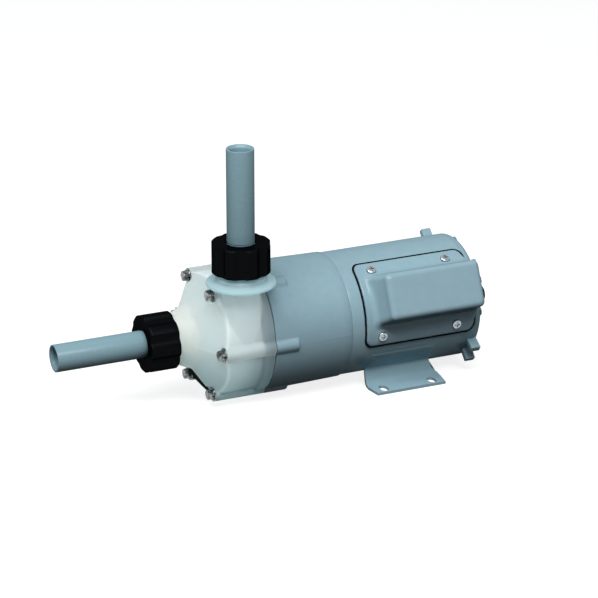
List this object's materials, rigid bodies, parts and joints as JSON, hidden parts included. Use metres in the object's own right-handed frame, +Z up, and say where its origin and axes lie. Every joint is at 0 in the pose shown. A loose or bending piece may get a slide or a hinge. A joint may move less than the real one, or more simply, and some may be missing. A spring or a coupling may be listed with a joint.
{
  "type": "magnetic drive pump",
  "caption": "Seal-less centrifugal pump: translucent plastic head with union pipes on a foot-mounted motor, its impeller turned by magnets through a closed can.",
  "frame": {"origin": "centre of the four foot slots, on the base plane", "axes": "+Z up, shaft along Y with the suction at -Y, discharge and terminal box towards +X"},
  "size_m": [0.126, 0.3521, 0.2171],
  "materials": {
    "natural_polypropylene": "satin",
    "painted_casting": "satin",
    "painted_sheet": "satin",
    "grey_pvc": "satin",
    "black_plastic": "satin",
    "stainless_steel": "satin",
    "black_rubber": "matte",
    "ceramic": "satin",
    "core_steel": "matte",
    "copper_winding": "satin",
    "magnet": "matte",
    "cup_aluminium": "satin",
    "filled_polypropylene": "satin",
    "carbon_bush": "matte",
    "brass": "satin",
    "phenolic": "matte",
    "capacitor_can": "satin"
  },
  "bodies": {
    "pump_body": {"front_casing": "natural_polypropylene", "rear_casing": "natural_polypropylene", "casing_o_ring": "black_rubber", "mouth_ring": "ceramic", "spindle": "ceramic", "front_thrust_washer": "ceramic", "rear_thrust_washer": "ceramic", "casing_bolts": "stainless_steel", "casing_spring_washers": "stainless_steel", "casing_washers": "stainless_steel", "motor_bracket": "painted_casting", "motor_frame": "painted_sheet", "stator_core": "core_steel", "stator_windings": "copper_winding", "front_bearing_outer": "stainless_steel", "rear_bearing_outer": "stainless_steel", "wave_washer": "stainless_steel", "rear_cover": "painted_sheet", "tie_bolts": "stainless_steel", "foot_right": "painted_sheet", "foot_left": "painted_sheet", "terminal_gasket": "black_rubber", "terminal_cover": "painted_sheet", "terminal_cover_screws": "stainless_steel", "terminal_block": "phenolic", "terminal_block_screws": "brass", "capacitor": "capacitor_can", "capacitor_clip": "stainless_steel", "cable_grommet": "black_rubber", "lead_grommet": "black_rubber", "earth_screw": "brass", "suction_o_ring": "black_rubber", "discharge_o_ring": "black_rubber"},
    "rotor": {"motor_shaft": "stainless_steel", "rotor_core": "core_steel", "front_bearing_inner": "stainless_steel", "front_bearing_balls": "stainless_steel", "rear_bearing_inner": "stainless_steel", "rear_bearing_balls": "stainless_steel", "drive_cup": "cup_aluminium", "drive_magnets": "magnet", "hub_set_screw": "stainless_steel"},
    "impeller_set": {"impeller": "filled_polypropylene", "driven_yoke": "core_steel", "driven_magnets": "magnet", "magnet_cap": "filled_polypropylene", "impeller_bush": "carbon_bush"},
    "suction_line": {"suction_tail": "grey_pvc", "suction_pipe": "grey_pvc"},
    "suction_nut_ring": {"suction_nut": "black_plastic"},
    "discharge_line": {"discharge_tail": "grey_pvc", "discharge_pipe": "grey_pvc"},
    "discharge_nut_ring": {"discharge_nut": "black_plastic"}
  },
  "joints": [
    {"name": "rotor_spin", "type": "hinge", "parent": "pump_body", "child": "rotor", "pos_m": [0, 0, 0.054], "axis": [0, 1, 0], "continuous": true},
    {"name": "impeller_spin", "type": "hinge", "parent": "pump_body", "child": "impeller_set", "pos_m": [0, 0, 0.054], "axis": [0, 1, 0], "continuous": true},
    {"name": "suction_line_draw", "type": "slide", "parent": "pump_body", "child": "suction_line", "axis": [0, -1, 0], "range_m": [0, 0.01154]},
    {"name": "suction_nut_turn", "type": "hinge", "parent": "suction_line", "child": "suction_nut_ring", "pos_m": [0, -0.2, 0.054], "axis": [0, -1, 0], "range_deg": [0, 1800]},
    {"name": "discharge_line_draw", "type": "slide", "parent": "pump_body", "child": "discharge_line", "axis": [0, 0, 1], "range_m": [0, 0.01154]},
    {"name": "discharge_nut_turn", "type": "hinge", "parent": "discharge_line", "child": "discharge_nut_ring", "pos_m": [0.035, -0.14, 0.134], "axis": [0, 0, 1], "range_deg": [0, 1800]}
  ],
  "couplings": [
    {"joint": "impeller_spin", "follows": "rotor_spin", "ratio": 1},
    {"joint": "suction_nut_turn", "follows": "suction_line_draw", "rad_per_m": 2721.2},
    {"joint": "discharge_nut_turn", "follows": "discharge_line_draw", "rad_per_m": 2721.2}
  ]
}
